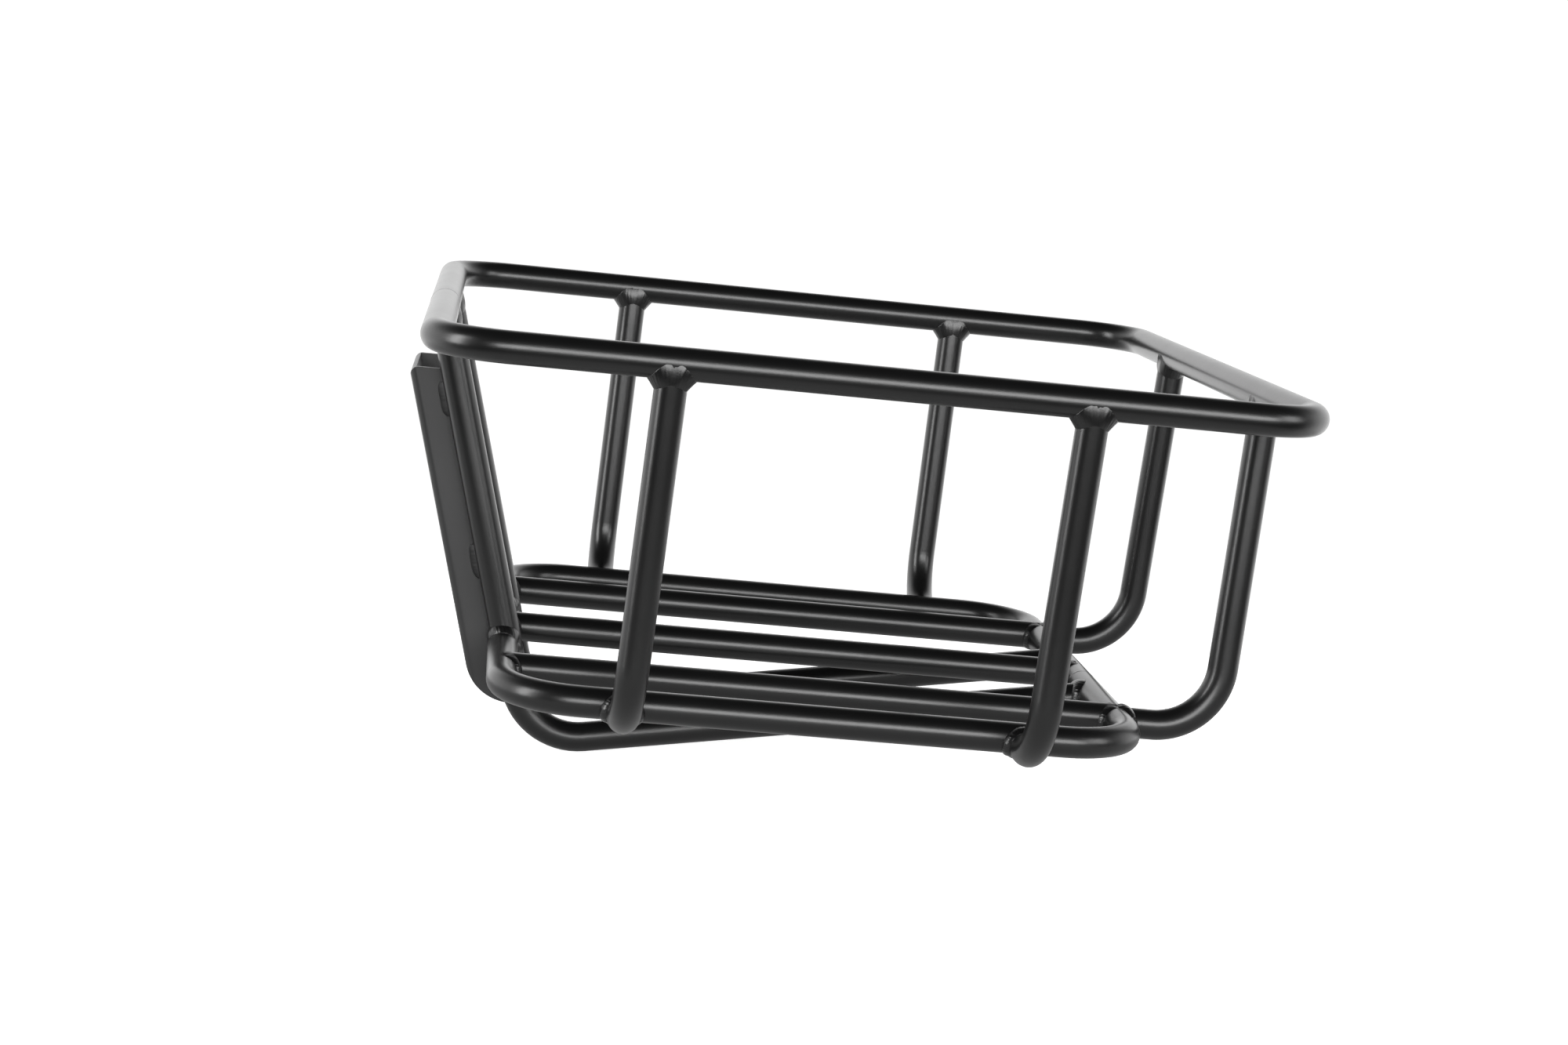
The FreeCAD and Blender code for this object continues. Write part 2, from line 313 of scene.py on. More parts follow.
@dataclass(frozen=True)
class StudioPaper:
    """Pale matt paper of the floor, with a faint tooth, fading out into the white room."""

    name: str = "studio_paper"
    shade: float = 0.92
    glow: float = 0.75               # as it is seen
    bounce: float = 0.24             # as it lights the carrier
    bounce_share: float = 0.55       # of the shade, as it lights the carrier
    tooth_size: float = 0.004
    tooth_depth: float = 0.0003
    solid_to: float = 0.26           # from the middle out to where the paper is whole
    gone_at: float = 0.60            # and to where it has faded out

    def material(self) -> bpy.types.Material:
        """Make the material and return it."""
        made = bpy.data.materials.new(self.name)
        made.use_nodes = True
        made.node_tree.nodes.clear()
        graph = Graph(made.node_tree)
        place = graph.node("ShaderNodeTexCoord").outputs["Object"]
        tooth = graph.noise(place, 1.0 / self.tooth_size, 2.0)
        reach = Number(graph, graph.node("ShaderNodeVectorMath", {"operation": "LENGTH"},
                                         {0: place}).outputs["Value"])
        cover = 1.0 - reach.between(self.solid_to, self.gone_at)
        bump = graph.node("ShaderNodeBump", {}, {"Strength": 0.2,
                                                 "Distance": self.tooth_depth,
                                                 "Height": tooth})
        papers = [graph.node("ShaderNodeBsdfPrincipled", {},
                             {"Base Color": (shade, shade, shade, 1.0),
                              "Roughness": 0.85, "Normal": bump.outputs[0],
                              "Specular IOR Level": 0.1,
                              "Emission Color": (1.0, 1.0, 1.0, 1.0),
                              "Emission Strength": glow, "Alpha": cover}).outputs[0]
                  for shade, glow in ((self.shade * self.bounce_share, self.bounce),
                                      (self.shade, self.glow))]
        straight = graph.node("ShaderNodeLightPath").outputs["Is Camera Ray"]
        surface = graph.node("ShaderNodeMixShader", {}, {0: straight, 1: papers[0],
                                                         2: papers[1]})
        graph.node("ShaderNodeOutputMaterial", {}, {"Surface": surface.outputs[0]})
        return made


class Finish(Enum):
    """The finishes on the carrier, each with its slot in the record."""

    TUBE = ("tube", PowderCoat("tube_powder_coat"))
    # Painted light: the bracket wears the same black coat as the tubes, but its pigment here is
    # about four times lighter to paint in the brightness the lights give the flange; its higher
    # roughness is the coat's own.
    BRACKET = ("bracket", PowderCoat("bracket_coat_painted_light", shade=0.0110, roughness=0.44,
                                     peel_size=0.0023, peel_depth=0.000018))
    WELD = ("weld", PowderCoat("weld_powder_coat", shade=0.0030, roughness=0.29,
                               peel_size=0.0012, peel_depth=0.000020))
    # Painted shade: the stitches wear the same coat as the other welds, but a darker pigment
    # here paints the shade in the groove between flange and tube; their higher roughness is
    # real.
    STITCH = ("weld", PowderCoat("stitch_coat_painted_shade", shade=0.0022, roughness=0.56,
                                 peel_size=0.0012, peel_depth=0.000014))


class PaintShop:
    """Makes each finish once and puts it on pieces."""

    def __init__(self) -> None:
        """Start with every finish made."""
        self.made = {finish: finish.value[1].material() for finish in Finish}

    def coat(self, piece: bpy.types.Object, finish: Finish) -> None:
        """Put one finish on a whole piece.

        Args:
            piece: a CAD node's object or a new piece.
            finish: its finish.
        """
        material = self.made[finish]
        if not piece.material_slots:
            piece.data.materials.append(material)
        for holder in piece.material_slots:
            holder.material = material


# ------------------------------------------------------------------ the frame's layout
@dataclass(frozen=True)
class Pipe:
    """The axis of a round tube near a joint, leading away from the joint."""

    start: Vector
    direction: Vector
    radius: float

    def foot(self, point: Vector) -> Vector:
        """Nearest point of the axis."""
        return self.start + self.direction * (point - self.start).dot(self.direction)

    def normal(self, point: Vector) -> Vector:
        """Outward direction at a point near the surface."""
        return (point - self.foot(point)).normalized()


@dataclass(frozen=True)
class Rails:
    """Axes of the four rails of a rim, read from the rim's box."""

    rear: float
    front: float
    side: float
    height: float
    radius: float

    @classmethod
    def of(cls, node: str, radius: float) -> "Rails":
        """Read a rim.

        Args:
            node: the rim's CAD node.
            radius: its tube's outside radius.

        Returns:
            Where its rails run.
        """
        low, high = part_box(node)
        return cls(low.x + radius, high.x - radius, (high.y - low.y) / 2 - radius,
                   (low.z + high.z) / 2, radius)

    def side_rail(self, side: float) -> Pipe:
        """The rail on one side."""
        return Pipe(Vector((self.rear, side * self.side, self.height)), X_AXIS, self.radius)

    def end_rail(self, x: float) -> Pipe:
        """The rail across one end."""
        return Pipe(Vector((x, 0.0, self.height)), Y_AXIS, self.radius)


@dataclass
class Layout:
    """Places of the tubes' axes, which the welds follow."""

    tube_d: float = 0.012
    side_lean: float = 0.0077
    side_rake: float = 0.0040
    side_drop: float = 0.0023
    front_lean: float = 0.0053
    front_splay: float = 0.0035
    front_drop: float = 0.0003
    bar_pitch: float = 0.087
    bar_lift: float = 0.0008
    rear_rake: float = math.radians(15.6)
    rear_foot_ahead: float = 0.0020
    strut_rise: float = 0.0384
    strut_run: float = 0.2290
    strut_end_drop: float = 0.0010
    radius: float = field(init=False)
    top: Rails = field(init=False)
    floor: Rails = field(init=False)
    bracket_half: float = field(init=False)

    def __post_init__(self) -> None:
        """Read the rims' and the bracket's places from the frame."""
        self.radius = self.tube_d / 2
        self.top = Rails.of("top_rim", self.radius)
        self.floor = Rails.of("floor_rim", self.radius)
        low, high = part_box("mounting_channel")
        self.bracket_half = (high.y - low.y) / 2

    @property
    def down(self) -> Vector:
        """Direction down a rear upright."""
        return Vector((math.sin(self.rear_rake), 0.0, -math.cos(self.rear_rake)))

    @property
    def back(self) -> Vector:
        """Direction square to the bracket's rear face, to the rear."""
        return Vector((-math.cos(self.rear_rake), 0.0, -math.sin(self.rear_rake)))

    @property
    def rear_y(self) -> float:
        """Distance of the rear uprights and struts from the middle plane."""
        return self.bracket_half + self.radius

    def side_foot_x(self, end: str, side: str) -> float:
        """Where a side upright's foot stands along the floor."""
        low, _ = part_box(f"side_upright_{side}_{end}")
        return low.x + self.radius

    def pipe(self, start: tuple, towards: tuple) -> Pipe:
        """A tube's axis from a joint towards another point."""
        first = Vector(start)
        return Pipe(first, (Vector(towards) - first).normalized(), self.radius)


# ------------------------------------------------------------------ weld lines
@dataclass(frozen=True)
class BeadPoint:
    """One station of a weld: its root, its two toes and how far its face swells."""

    root: Vector
    upper: Vector
    lower: Vector
    out: Vector
    swell: float


@dataclass(frozen=True)
class BeadLine:
    """A weld's stations in order, closed where it goes round a tube."""

    stations: list
    closed: bool = True


@dataclass(frozen=True)
class CopedJoint:
    """A tube's end, coped to a rail and welded all round."""

    stub: Pipe
    rail: Pipe
    stub_leg: float = 0.0030         # weld's reach along the coped tube
    rail_leg: float = 0.0027         # weld's reach along the rail
    corner_swell: float = 0.0002     # face's swell where the tubes meet square
    flank_swell: float = 0.0008      # and where their sides run into each other
    bite: float = 0.00015            # how far a toe lies under the tube's surface
    stations: int = 208

    def hit(self, start: Vector, rail_radius: float) -> Vector:
        """Where a line beside the stub's axis leaves a cylinder about the rail.

        Args:
            start: a point of the line.
            rail_radius: the cylinder's radius.

        Returns:
            The crossing on the stub's side, or the nearest point if the line misses.
        """
        across = self.rail.direction
        reach = start - self.rail.start
        reach = reach - across * reach.dot(across)
        slope = self.stub.direction - across * self.stub.direction.dot(across)
        a = slope.length_squared
        b = 2 * slope.dot(reach)
        c = reach.length_squared - rail_radius ** 2
        t = (-b + math.sqrt(max(b * b - 4 * a * c, 0.0))) / (2 * a)
        return start + self.stub.direction * t

    def unrolled(self, point: Vector, crown: Vector) -> tuple:
        """A point of the rail as (along, around), both from the joint's middle."""
        along = (point - self.stub.start).dot(self.rail.direction)
        side = self.rail.direction.cross(crown)
        normal = self.rail.normal(point)
        around = self.rail.radius * math.atan2(normal.dot(side), normal.dot(crown))
        return along, around

    def rolled(self, along: float, around: float, crown: Vector, radius: float) -> Vector:
        """A point of the rail's surface from its unrolled place."""
        side = self.rail.direction.cross(crown)
        turn = around / self.rail.radius
        base = self.rail.foot(self.stub.start) + self.rail.direction * along
        return base + (crown * math.cos(turn) + side * math.sin(turn)) * radius

    def line(self) -> BeadLine:
        """Work out the weld round the joint.

        Returns:
            The stations of the weld, from the crotch round the stub.
        """
        across = self.rail.direction
        axis = self.stub.direction
        crown = (axis - across * axis.dot(across)).normalized()
        first = (across - axis * across.dot(axis)).normalized()
        second = axis.cross(first)
        half_around = self.rail.radius * math.pi / 2
        stations = []
        for step in range(self.stations):
            turn = 2 * math.pi * step / self.stations
            beside = first * math.cos(turn) + second * math.sin(turn)
            start = self.stub.start + beside * self.stub.radius
            root = self.hit(start, self.rail.radius)
            inner = self.stub.start + beside * (self.stub.radius - self.bite)
            upper = self.hit(inner, self.rail.radius + self.stub_leg)
            along, around = self.unrolled(root, crown)
            lead = Vector((along / self.stub.radius ** 2, around / half_around ** 2))
            lead.normalize()
            lower = self.rolled(along + lead.x * self.rail_leg,
                                around + lead.y * self.rail_leg, crown,
                                self.rail.radius - self.bite)
            out = (beside + self.rail.normal(lower)).normalized()
            flank = max(0.0, beside.dot(self.rail.normal(root)))
            swell = self.corner_swell + (self.flank_swell - self.corner_swell) * flank
            stations.append(BeadPoint(root, upper, lower, out, swell))
        return BeadLine(stations)


@dataclass(frozen=True)
class Stitch:
    """A short weld in the groove between a bracket flange and the tube beside it."""

    tube: Pipe
    inward: Vector                   # from the tube's axis square to the flange
    back: Vector                     # along the flange, away from the tube
    middle: Vector                   # point of the tube's axis beside the stitch
    length: float = 0.0145
    tube_turn: float = math.radians(68)
    flange_reach: float = 0.0088
    root_reach: float = 0.0035
    swell: float = 0.00025
    sunk: float = 0.0002             # how far a toe lies under its surface
    thinnest: float = 0.03           # share of the section left at the ends
    stations: int = 72

    def line(self) -> BeadLine:
        """Work out the stitch.

        Returns:
            Its stations, which draw in to a point at both ends.
        """
        radius = self.tube.radius
        out = (self.back * 0.8 - self.inward * 0.6).normalized()
        stations = []
        for step in range(self.stations):
            share = step / (self.stations - 1)
            fill = (1 - abs(2 * share - 1) ** 3.2) ** 0.5
            centre = self.middle + self.tube.direction * ((share - 0.5) * self.length)
            root = centre + self.inward * radius + self.back * self.root_reach
            on_tube = (self.inward * math.cos(self.tube_turn)
                       + self.back * math.sin(self.tube_turn))
            upper = centre + on_tube * (radius - self.sunk)
            lower = (centre + self.inward * (radius + self.sunk)
                     + self.back * self.flange_reach)
            middle = (upper + lower) / 2 - out * 0.0012
            upper = middle.lerp(upper, max(fill, self.thinnest))
            lower = middle.lerp(lower, max(fill, self.thinnest))
            stations.append(BeadPoint(root.lerp(middle, 0.6), upper, lower, out,
                                      self.swell * fill))
        return BeadLine(stations, closed=False)


@dataclass(frozen=True)
class ButtSeam:
    """The dressed butt weld that closes a rim: a faint ring round its tube."""

    tube: Pipe
    middle: Vector
    width: float = 0.0026
    swell: float = 0.00010
    bite: float = 0.00008
    stations: int = 96

    def line(self) -> BeadLine:
        """Work out the ring and return its stations."""
        first = self.tube.direction.orthogonal().normalized()
        second = self.tube.direction.cross(first)
        stations = []
        for step in range(self.stations):
            turn = 2 * math.pi * step / self.stations
            out = first * math.cos(turn) + second * math.sin(turn)
            root = self.middle + out * self.tube.radius
            shift = self.tube.direction * (self.width / 2)
            sunk = root - out * self.bite
            stations.append(BeadPoint(root, sunk + shift, sunk - shift, out,
                                      self.swell + self.bite))
        return BeadLine(stations)


# ------------------------------------------------------------------ weld beads
@dataclass
class BeadTree:
    """Geometry nodes that lay a rippled weld bead along its stations."""

    section: int = 16                # points round the bead's section
    ripple_pitch: float = 0.0013
    ripple_height: float = 0.00011
    unevenness: float = 0.16
    sink: float = 0.0008
    seed: float = 3.0
    upper_cells: float = 190.0       # cells to the metre of the upper toe's wander
    lower_cells: float = 240.0       # of the lower toe's
    lump_cells: float = 420.0        # and of the lumps in the face
    valley: float = 0.6              # share of a ripple's height that lies below the face

    def tree(self) -> bpy.types.NodeTree:
        """Build the tree.

        Returns:
            A tree that takes edges with the stations' attributes and gives the beads.
        """
        tree = bpy.data.node_groups.new("weld_bead", "GeometryNodeTree")
        face = tree.interface
        face.new_socket("Geometry", in_out="INPUT", socket_type="NodeSocketGeometry")
        for name in ("Ripple Pitch", "Ripple Height", "Unevenness", "Sink", "Seed"):
            face.new_socket(name, in_out="INPUT", socket_type="NodeSocketFloat")
        face.new_socket("Section Points", in_out="INPUT", socket_type="NodeSocketInt")
        face.new_socket("Material", in_out="INPUT", socket_type="NodeSocketMaterial")
        face.new_socket("Geometry", in_out="OUTPUT", socket_type="NodeSocketGeometry")
        graph = Graph(tree)
        given = graph.node("NodeGroupInput").outputs
        pitch, ripple_height, unevenness, sink, seed = (
            Number(graph, given[name]) for name in
            ("Ripple Pitch", "Ripple Height", "Unevenness", "Sink", "Seed"))

        line = graph.node("GeometryNodeMeshToCurve", {}, {"Mesh": given["Geometry"]})
        length = Number(graph, graph.node("GeometryNodeSplineLength").outputs["Length"])
        along = Number(graph, graph.node("GeometryNodeSplineParameter").outputs["Factor"])
        phase = along * (length / pitch).rounded()
        line = graph.stored(line.outputs[0], "phase", phase)

        ring = graph.node("GeometryNodeCurvePrimitiveCircle", {},
                          {"Resolution": given["Section Points"], "Radius": 0.001})
        index = Number(graph, graph.node("GeometryNodeInputIndex").outputs[0])
        count = Number(graph, given["Section Points"])
        ring = graph.stored(ring.outputs[0], "turn", index / count)
        swept = graph.node("GeometryNodeCurveToMesh", {},
                           {"Curve": line, "Profile Curve": ring, "Fill Caps": True})

        root, upper, lower, out = (Arrow(graph, graph.attribute(name, "FLOAT_VECTOR"))
                                   for name in ("root", "upper", "lower", "out"))
        swell, turn, phase = (Number(graph, graph.attribute(name, "FLOAT"))
                              for name in ("swell", "turn", "phase"))
        offset = graph.node("ShaderNodeCombineXYZ", {}, {0: seed, 1: seed * 1.7, 2: seed})
        where = root + Arrow(graph, offset.outputs[0])
        slow = graph.noise(where, self.upper_cells, 1.0) - 0.5
        other = graph.noise(where + out * 2.0, self.lower_cells, 1.0) - 0.5
        lumps = graph.noise(where, self.lump_cells, 2.0)
        upper = upper + (upper - root) * (slow * unevenness * 2.0)
        lower = lower + (lower - root) * (other * unevenness * 2.0)

        share = turn / 0.75
        back = (turn - 0.75) / 0.25
        inside = turn > 0.7501
        crest = (upper + lower) * 0.5 + out * (swell * 2.0 * (lumps * 0.9 + 0.55))
        outer = self.arc(upper, crest, lower, share)
        inner = self.arc(lower, root - out * sink, upper, back)
        window = share * (1.0 - share) * 4.0
        bow = (share - 0.5) * (share - 0.5) * 2.2
        crescent = abs(((phase + bow + slow * 0.7) * math.pi).wave()) - self.valley
        lift = crescent * window * ripple_height * (lumps * 1.8)
        outer = outer + out * lift
        place = outer + (inner - outer) * inside

        moved = graph.node("GeometryNodeSetPosition", {},
                           {"Geometry": swept.outputs[0], "Position": place})
        smooth = graph.node("GeometryNodeSetShadeSmooth", {}, {0: moved.outputs[0]})
        real = graph.node("GeometryNodeRealizeInstances", {}, {0: smooth.outputs[0]})
        dressed = graph.node("GeometryNodeSetMaterial", {},
                             {"Geometry": real.outputs[0], "Material": given["Material"]})
        graph.node("NodeGroupOutput", {}, {"Geometry": dressed.outputs[0]})
        return tree

    @staticmethod
    def arc(first: Arrow, pull: Arrow, last: Arrow, share: Number) -> Arrow:
        """Point of a curve between two ends that bends towards a third point."""
        rest = 1.0 - share
        return first * (rest * rest) + pull * (share * rest * 2.0) + last * (share * share)

    def settings(self, material: bpy.types.Material) -> dict:
        """The tree's inputs by name."""
        return {"Ripple Pitch": self.ripple_pitch, "Ripple Height": self.ripple_height,
                "Unevenness": self.unevenness, "Sink": self.sink, "Seed": self.seed,
                "Section Points": self.section, "Material": material}


class Welder:
    """Lays weld beads along their lines, one mesh for each group."""

    def __init__(self, shop: PaintShop) -> None:
        """Keep the paint shop and build the bead tree once."""
        self.shop = shop
        self.tree = BeadTree().tree()

    @staticmethod
    def track(name: str, lines: list) -> bpy.types.Object:
        """Edges along the stations of every line, with what the tree needs on each point."""
        points, edges, stations = [], [], []
        for line in lines:
            base = len(points)
            count = len(line.stations)
            stations += line.stations
            points += [s.root for s in line.stations]
            last = count if line.closed else count - 1
            edges += [(base + i, base + (i + 1) % count) for i in range(last)]
        mesh = bpy.data.meshes.new(name)
        mesh.from_pydata(points, edges, [])
        for key in ("root", "upper", "lower", "out"):
            layer = mesh.attributes.new(key, "FLOAT_VECTOR", "POINT")
            flat = [c for s in stations for c in getattr(s, key)]
            layer.data.foreach_set("vector", flat)
        layer = mesh.attributes.new("swell", "FLOAT", "POINT")
        layer.data.foreach_set("value", [s.swell for s in stations])
        piece = bpy.data.objects.new(name, mesh)
        bpy.context.scene.collection.objects.link(piece)
        return piece

    def lay(self, name: str, lines: list, bead: BeadTree, node: Optional[str] = None,
            finish: Finish = Finish.WELD) -> bpy.types.Object:
        """Make one group of welds.

        Args:
            name: the new piece's name.
            lines: the weld lines of the group.
            bead: the sizes of its beads.
            node: the CAD node that the group stands for.
            finish: the coat on the beads.

        Returns:
            The finished piece, riding on the frame.
        """
        piece = self.track(name, lines)
        layer = piece.modifiers.new("beads", "NODES")
        layer.node_group = self.tree
        settings = bead.settings(self.shop.made[finish])
        for item in self.tree.interface.items_tree:
            if item.in_out == "INPUT" and item.name in settings:
                layer[item.identifier] = settings[item.name]
        finished = plain_mesh(piece, name)
        self.shop.coat(finished, finish)
        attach(finished, BODY)
        if node:
            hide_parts(node)
        LOG.info("%s: %d welds, %d faces", name, len(lines), len(finished.data.polygons))
        return finished


def plain_mesh(piece: bpy.types.Object, name: str) -> bpy.types.Object:
    """Turn a piece with live modifiers into a plain mesh whose faces point outwards.

    Args:
        piece: the piece, which is removed.
        name: the new piece's name.

    Returns:
        A new object at the origin.
    """
    graph = bpy.context.evaluated_depsgraph_get()
    mesh = bpy.data.meshes.new_from_object(piece.evaluated_get(graph))
    bpy.data.objects.remove(piece)
    work = bmesh.new()
    work.from_mesh(mesh)
    bmesh.ops.recalc_face_normals(work, faces=work.faces)
    work.to_mesh(mesh)
    work.free()
    for key in [a.name for a in mesh.attributes if a.name in
                ("root", "upper", "lower", "out", "swell", "turn", "phase")]:
        mesh.attributes.remove(mesh.attributes[key])
    mesh.name = name
    made = bpy.data.objects.new(name, mesh)
    bpy.context.scene.collection.objects.link(made)
    return made


# ------------------------------------------------------------------ sub-assemblies
@dataclass
class TubeFrame:
    """The two rims, the uprights, the floor bars and the struts."""

    layout: Layout
    shop: PaintShop
    prefixes: tuple = ("top_rim", "floor_rim", "floor_bar", "side_upright",
                       "front_upright", "rear_upright", "under_strut")

    def dress(self) -> None:
        """Put the coat on every tube."""
        for name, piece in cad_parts.items():
            if name.startswith(self.prefixes) and not name.endswith("welds"):
                self.shop.coat(piece, Finish.TUBE)
                LOG.info("%s: coated", name)


@dataclass
class HeadBracket:
    """The folded channel that bolts to the bicycle's head."""

    shop: PaintShop
    node: str = "mounting_channel"
    edge_radius: float = 0.0007
    edge_segments: int = 3
    edge_angle: float = math.radians(35)
    merge: float = 0.00001

    def build(self) -> bpy.types.Object:
        """Make the bracket with its sheared edges eased.

        Returns:
            The piece that stands for the CAD channel.
        """
        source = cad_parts[self.node]
        mesh = source.data.copy()
        mesh.materials.clear()
        if "custom_normal" in mesh.attributes:
            mesh.attributes.remove(mesh.attributes["custom_normal"])
        work = bmesh.new()
        work.from_mesh(mesh)
        bmesh.ops.remove_doubles(work, verts=work.verts, dist=self.merge)
        bmesh.ops.dissolve_limit(work, angle_limit=math.radians(0.6), verts=work.verts,
                                 edges=work.edges, delimit={"NORMAL"})
        for face in work.faces:
            face.smooth = True
        work.to_mesh(mesh)
        work.free()
        piece = bpy.data.objects.new("bracket_sheet", mesh)
        bpy.context.scene.collection.objects.link(piece)
        ease = piece.modifiers.new("eased_edges", "BEVEL")
        ease.width = self.edge_radius
        ease.segments = self.edge_segments
        ease.limit_method = "ANGLE"
        ease.angle_limit = self.edge_angle
        ease.use_clamp_overlap = True
        ease.harden_normals = True
        finished = plain_mesh(piece, "bracket_sheet")
        self.shop.coat(finished, Finish.BRACKET)
        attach(finished, BODY)
        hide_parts(self.node)
        LOG.info("bracket: %d faces", len(finished.data.polygons))
        return finished


@dataclass
class Welds:
    """Every weld of the carrier, worked out from the tubes' axes."""

    layout: Layout
    welder: Welder
    bracket_stitches: tuple = (0.0495, -0.0150, -0.0645)   # their heights
    top_seam_y: float = -0.015                             # butt seam of the top rim
    floor_seam_y: float = -0.018                           # and of the floor rim

    def upright_axes(self) -> dict:
        """Axes of the uprights from the top rim down, with the rail that each hangs from."""
        lay, top, floor = self.layout, self.layout.top, self.layout.floor
        made = {"side": [], "front": [], "rear": []}
        for side_name, side in (("left", LEFT), ("right", RIGHT)):
            for end in ("rear", "front"):
                foot_x = lay.side_foot_x(end, side_name)
                foot = (foot_x, side * (top.side - lay.side_lean), floor.height - lay.side_drop)
                head = (foot_x + lay.side_rake, side * top.side, top.height)
                made["side"].append((side, foot, lay.pipe(head, foot)))
            foot = (top.front - lay.front_lean, side * lay.bar_pitch,
                    floor.height - lay.front_drop)
            head = (top.front, side * (lay.bar_pitch - lay.front_splay), top.height)
            made["front"].append((side, foot, lay.pipe(head, foot)))
            foot = (floor.rear + lay.rear_foot_ahead, side * lay.rear_y, floor.height)
            head = (top.rear, side * lay.rear_y, top.height)
            made["rear"].append((side, foot, lay.pipe(head, foot)))
        return made

    def top_rim_lines(self, axes: dict) -> list:
        """Welds of the uprights to the top rim."""
        top = self.layout.top
        rails = {"side": lambda side: top.side_rail(side),
                 "front": lambda side: top.end_rail(top.front),
                 "rear": lambda side: top.end_rail(top.rear)}
        return [CopedJoint(pipe, rails[kind](side), stub_leg=0.0040, rail_leg=0.0030,
                           corner_swell=-0.0001, flank_swell=0.0007).line()
                for kind, group in axes.items() for side, _, pipe in group]

    def floor_side_lines(self, axes: dict) -> list:
        """Welds of the side uprights' stubs to the floor rim's sides."""
        lay, floor = self.layout, self.layout.floor
        lines = []
        for side, foot, _ in axes["side"]:
            end = (foot[0], side * floor.side, foot[2])
            lines.append(CopedJoint(lay.pipe(end, foot), floor.side_rail(side),
                                    stub_leg=0.0024, rail_leg=0.0026,
                                    corner_swell=0.0004, flank_swell=0.0010).line())
        return lines

    def floor_end_lines(self, axes: dict) -> list:
        """Welds of the front and rear uprights to the floor rim's ends."""
        lay, floor = self.layout, self.layout.floor
        lines = []
        for side, foot, _ in axes["front"]:
            end = (floor.front, foot[1], foot[2])
            lines.append(CopedJoint(lay.pipe(end, foot), floor.end_rail(floor.front),
                                    stub_leg=0.0024, rail_leg=0.0026,
                                    corner_swell=0.0005, flank_swell=0.0012).line())
        for side, foot, pipe in axes["rear"]:
            start = Vector(foot)
            lines.append(CopedJoint(Pipe(start, -pipe.direction, lay.radius),
                                    floor.end_rail(floor.rear),
                                    stub_leg=0.0026, rail_leg=0.0026).line())
        return lines

    def floor_bar_lines(self) -> list:
        """Welds at the ends of the floor bars."""
        lay, floor = self.layout, self.layout.floor
        height = floor.height + lay.bar_lift
        lines = []
        for place in (1, 0, -1):
            y = place * lay.bar_pitch
            for x, other in ((floor.rear, floor.front), (floor.front, floor.rear)):
                lines.append(CopedJoint(lay.pipe((x, y, height), (other, y, height)),
                                        floor.end_rail(x), stub_leg=0.0019,
                                        rail_leg=0.0018, corner_swell=0.0002,
                                        flank_swell=0.0005).line())
        return lines

    def strut_lines(self, axes: dict) -> list:
        """Welds at both ends of the struts."""
        lay, floor = self.layout, self.layout.floor
        lines = []
        for side, foot, pipe in axes["rear"]:
            lines.append(CopedJoint(Pipe(Vector(foot), pipe.direction, lay.radius),
                                    floor.end_rail(floor.rear)).line())
            end = (floor.front, foot[1], floor.height - lay.strut_end_drop)
            knee = (end[0] - lay.strut_run, end[1], end[2] - lay.strut_rise)
            lines.append(CopedJoint(lay.pipe(end, knee), floor.end_rail(floor.front),
                                    stub_leg=0.0026, rail_leg=0.0024,
                                    corner_swell=0.0003).line())
        return lines

    def stitch_lines(self, axes: dict) -> list:
        """Stitches between the bracket's flanges and the tubes."""
        lines = []
        for side, foot, pipe in axes["rear"]:
            for height in self.bracket_stitches:
                run = (height - foot[2]) / pipe.direction.z
                middle = Vector(foot) + pipe.direction * run
                lines.append(Stitch(pipe, Vector((0.0, -side, 0.0)), self.layout.back,
                                    middle).line())
        return lines

    def seam_lines(self) -> list:
        """Butt seams that close the rims."""
        top, floor = self.layout.top, self.layout.floor
        upper = top.end_rail(top.rear)
        lower = floor.end_rail(floor.front)
        return [ButtSeam(upper, upper.start + Y_AXIS * self.top_seam_y).line(),
                ButtSeam(lower, lower.start + Y_AXIS * self.floor_seam_y).line()]

    def build(self) -> None:
        """Lay every weld."""
        axes = self.upright_axes()
        plain = BeadTree(ripple_height=0.00007, unevenness=0.10, seed=3.0)
        heavy = BeadTree(ripple_height=0.00010, unevenness=0.13, seed=7.0)
        stitch = BeadTree(ripple_height=0.00006, ripple_pitch=0.0016, unevenness=0.1,
                          seed=11.0)
        seam = BeadTree(ripple_height=0.00001, unevenness=0.05, sink=0.0002, seed=5.0)
        lay = self.welder.lay
        lay("top_rim_beads", self.top_rim_lines(axes), plain, "top_rim_welds")
        lay("floor_side_beads", self.floor_side_lines(axes), heavy, "floor_side_welds")
        lay("floor_end_beads", self.floor_end_lines(axes), heavy, "floor_end_welds")
        lay("floor_bar_beads", self.floor_bar_lines(), heavy, "floor_bar_welds")
        lay("strut_beads", self.strut_lines(axes), heavy, "strut_welds")
        lay("bracket_stitches", self.stitch_lines(axes), stitch, "channel_welds",
            Finish.STITCH)
        lay("rim_butt_seams", self.seam_lines(), seam)


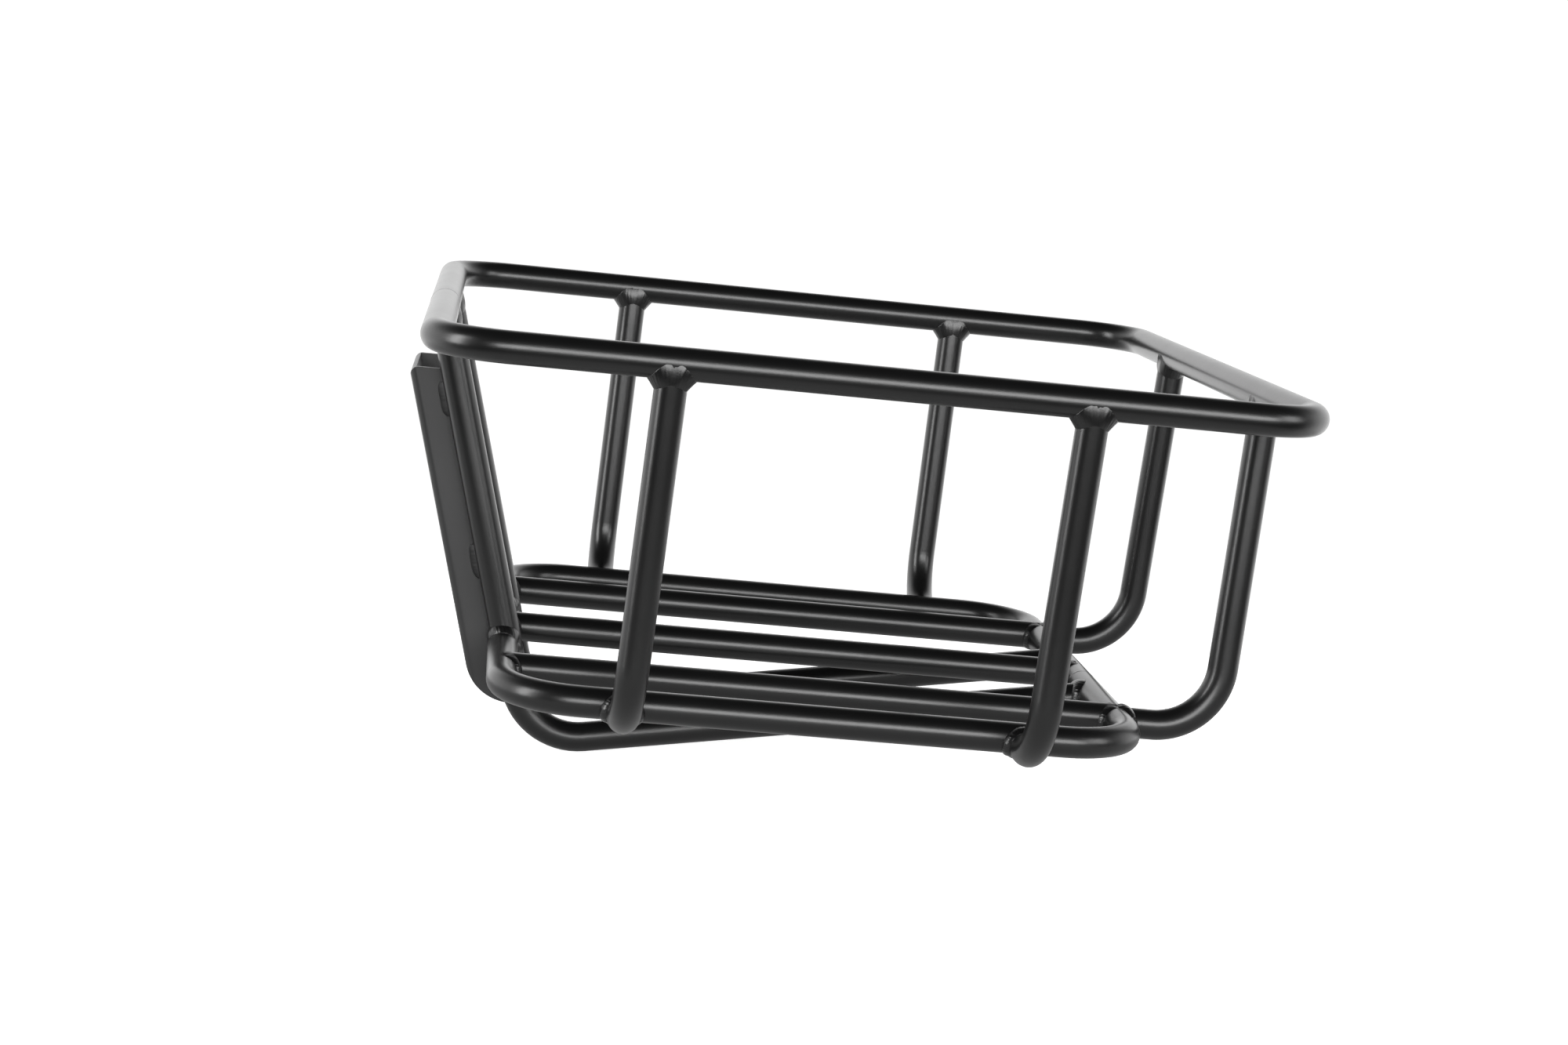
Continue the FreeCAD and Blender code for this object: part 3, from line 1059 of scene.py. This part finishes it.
# ------------------------------------------------------------------ studio
@dataclass(frozen=True)
class Viewpoint:
    """Where the camera stands and how it is held."""

    position: tuple = (0.014248, -1.219691, 0.182840)
    heading: float = math.radians(6.0259)     # from +Y towards +X
    pitch: float = math.radians(-8.2115)
    roll: float = math.radians(6.0505)
    lens: float = 68.187                      # millimetres
    sensor: float = 36.0

    def build(self) -> None:
        """Add the camera and make it the scene's."""
        data = bpy.data.cameras.new("camera")
        data.lens = self.lens
        data.sensor_width = self.sensor
        data.sensor_fit = "HORIZONTAL"
        data.clip_start = 0.01
        data.clip_end = 100.0
        forward = Vector((math.sin(self.heading) * math.cos(self.pitch),
                          math.cos(self.heading) * math.cos(self.pitch),
                          math.sin(self.pitch)))
        level = Vector((math.cos(self.heading), -math.sin(self.heading), 0.0))
        up = level.cross(forward)
        right = level * math.cos(self.roll) + up * math.sin(self.roll)
        up = right.cross(forward)
        turn = Matrix((right, up, -forward)).transposed().to_4x4()
        camera = bpy.data.objects.new("camera", data)
        camera.matrix_world = Matrix.Translation(self.position) @ turn
        bpy.context.scene.collection.objects.link(camera)
        bpy.context.scene.camera = camera


@dataclass(frozen=True)
class Softbox:
    """A rectangular soft light on a stand, turned to the carrier."""

    name: str
    azimuth: float                   # degrees from straight in front, towards +X
    elevation: float                 # degrees
    distance: float
    width: float
    height: float
    radiance: float

    def build(self, centre: Vector) -> None:
        """Add the light.

        Args:
            centre: the point that it faces.
        """
        turn, rise = math.radians(self.azimuth), math.radians(self.elevation)
        away = Vector((math.sin(turn) * math.cos(rise), -math.cos(turn) * math.cos(rise),
                       math.sin(rise)))
        data = bpy.data.lights.new(self.name, "AREA")
        data.shape = "RECTANGLE"
        data.size = self.width
        data.size_y = self.height
        data.energy = self.radiance * math.pi * self.width * self.height
        light = bpy.data.objects.new(self.name, data)
        light.matrix_world = (Matrix.Translation(centre + away * self.distance)
                              @ away.to_track_quat("Z", "Y").to_matrix().to_4x4())
        light.visible_camera = False
        bpy.context.scene.collection.objects.link(light)


@dataclass
class Studio:
    """Pale floor, soft lights and white surroundings."""

    centre: Vector
    floor_height: float
    floor_size: float = 1.6
    paper_light: float = 1.75        # white paper behind, as it lights the carrier
    under_light: float = 0.40        # light from straight below
    room_light: float = 0.035        # everywhere else
    seen_light: float = 1.05         # the surroundings as they are seen
    boxes: tuple = (
        Softbox("softbox_left", -71.0, 13.0, 1.7, 0.42, 1.25, 13.0),
        Softbox("softbox_high", 8.0, 13.0, 2.4, 2.6, 0.80, 10.5),
        Softbox("softbox_right", 56.0, 18.0, 2.2, 0.8, 1.0, 6.0),
    )

    def build(self) -> None:
        """Set up the floor, the lights and the surroundings."""
        mesh = bpy.data.meshes.new("studio_floor")
        half = self.floor_size / 2
        mesh.from_pydata([(-half, -half, 0.0), (half, -half, 0.0), (half, half, 0.0),
                          (-half, half, 0.0)], [], [(0, 1, 2, 3)])
        floor = bpy.data.objects.new("studio_floor", mesh)
        floor.location = (self.centre.x, self.centre.y, self.floor_height)
        floor.data.materials.append(StudioPaper().material())
        bpy.context.scene.collection.objects.link(floor)
        for box in self.boxes:
            box.build(self.centre)
        self.surroundings()
        view = bpy.context.scene.view_settings
        view.view_transform = "Standard"
        view.look = "None"

    def surroundings(self) -> None:
        """White paper behind the carrier and a dim room in front of it and overhead."""
        world = bpy.data.worlds.new("surroundings")
        bpy.context.scene.world = world
        world.use_nodes = True
        world.node_tree.nodes.clear()
        graph = Graph(world.node_tree)
        way = graph.node("ShaderNodeTexCoord").outputs["Generated"]
        parts = graph.node("ShaderNodeSeparateXYZ", {}, {0: way})
        depth = Number(graph, parts.outputs["Y"])
        height = Number(graph, parts.outputs["Z"])
        behind = depth.between(-0.25, 0.35)
        low = 1.0 - height.between(0.25, 0.75)
        under = 1.0 - height.between(-0.85, -0.55)
        strength = (behind * low * self.paper_light + under * self.under_light
                    + self.room_light)
        seen = graph.node("ShaderNodeBackground", {}, {"Color": (1.0, 1.0, 1.0, 1.0),
                                                       "Strength": self.seen_light})
        lit = graph.node("ShaderNodeBackground", {}, {"Color": (1.0, 1.0, 1.0, 1.0),
                                                      "Strength": strength})
        straight = graph.node("ShaderNodeLightPath").outputs["Is Camera Ray"]
        mixed = graph.node("ShaderNodeMixShader", {}, {0: straight, 1: lit.outputs[0],
                                                       2: seen.outputs[0]})
        graph.node("ShaderNodeOutputWorld", {}, {"Surface": mixed.outputs[0]})


# ------------------------------------------------------------------ the whole
def main() -> None:
    """Build the carrier and its studio."""
    logging.basicConfig(level=logging.INFO, format="%(name)s %(message)s")
    Viewpoint().build()
    shop = PaintShop()
    layout = Layout()
    TubeFrame(layout, shop).dress()
    HeadBracket(shop).build()
    Welds(layout, Welder(shop)).build()
    low, high = CAD_BOX
    Studio((low + high) / 2, low.z).build()


if __name__ == "__main__":
    main()
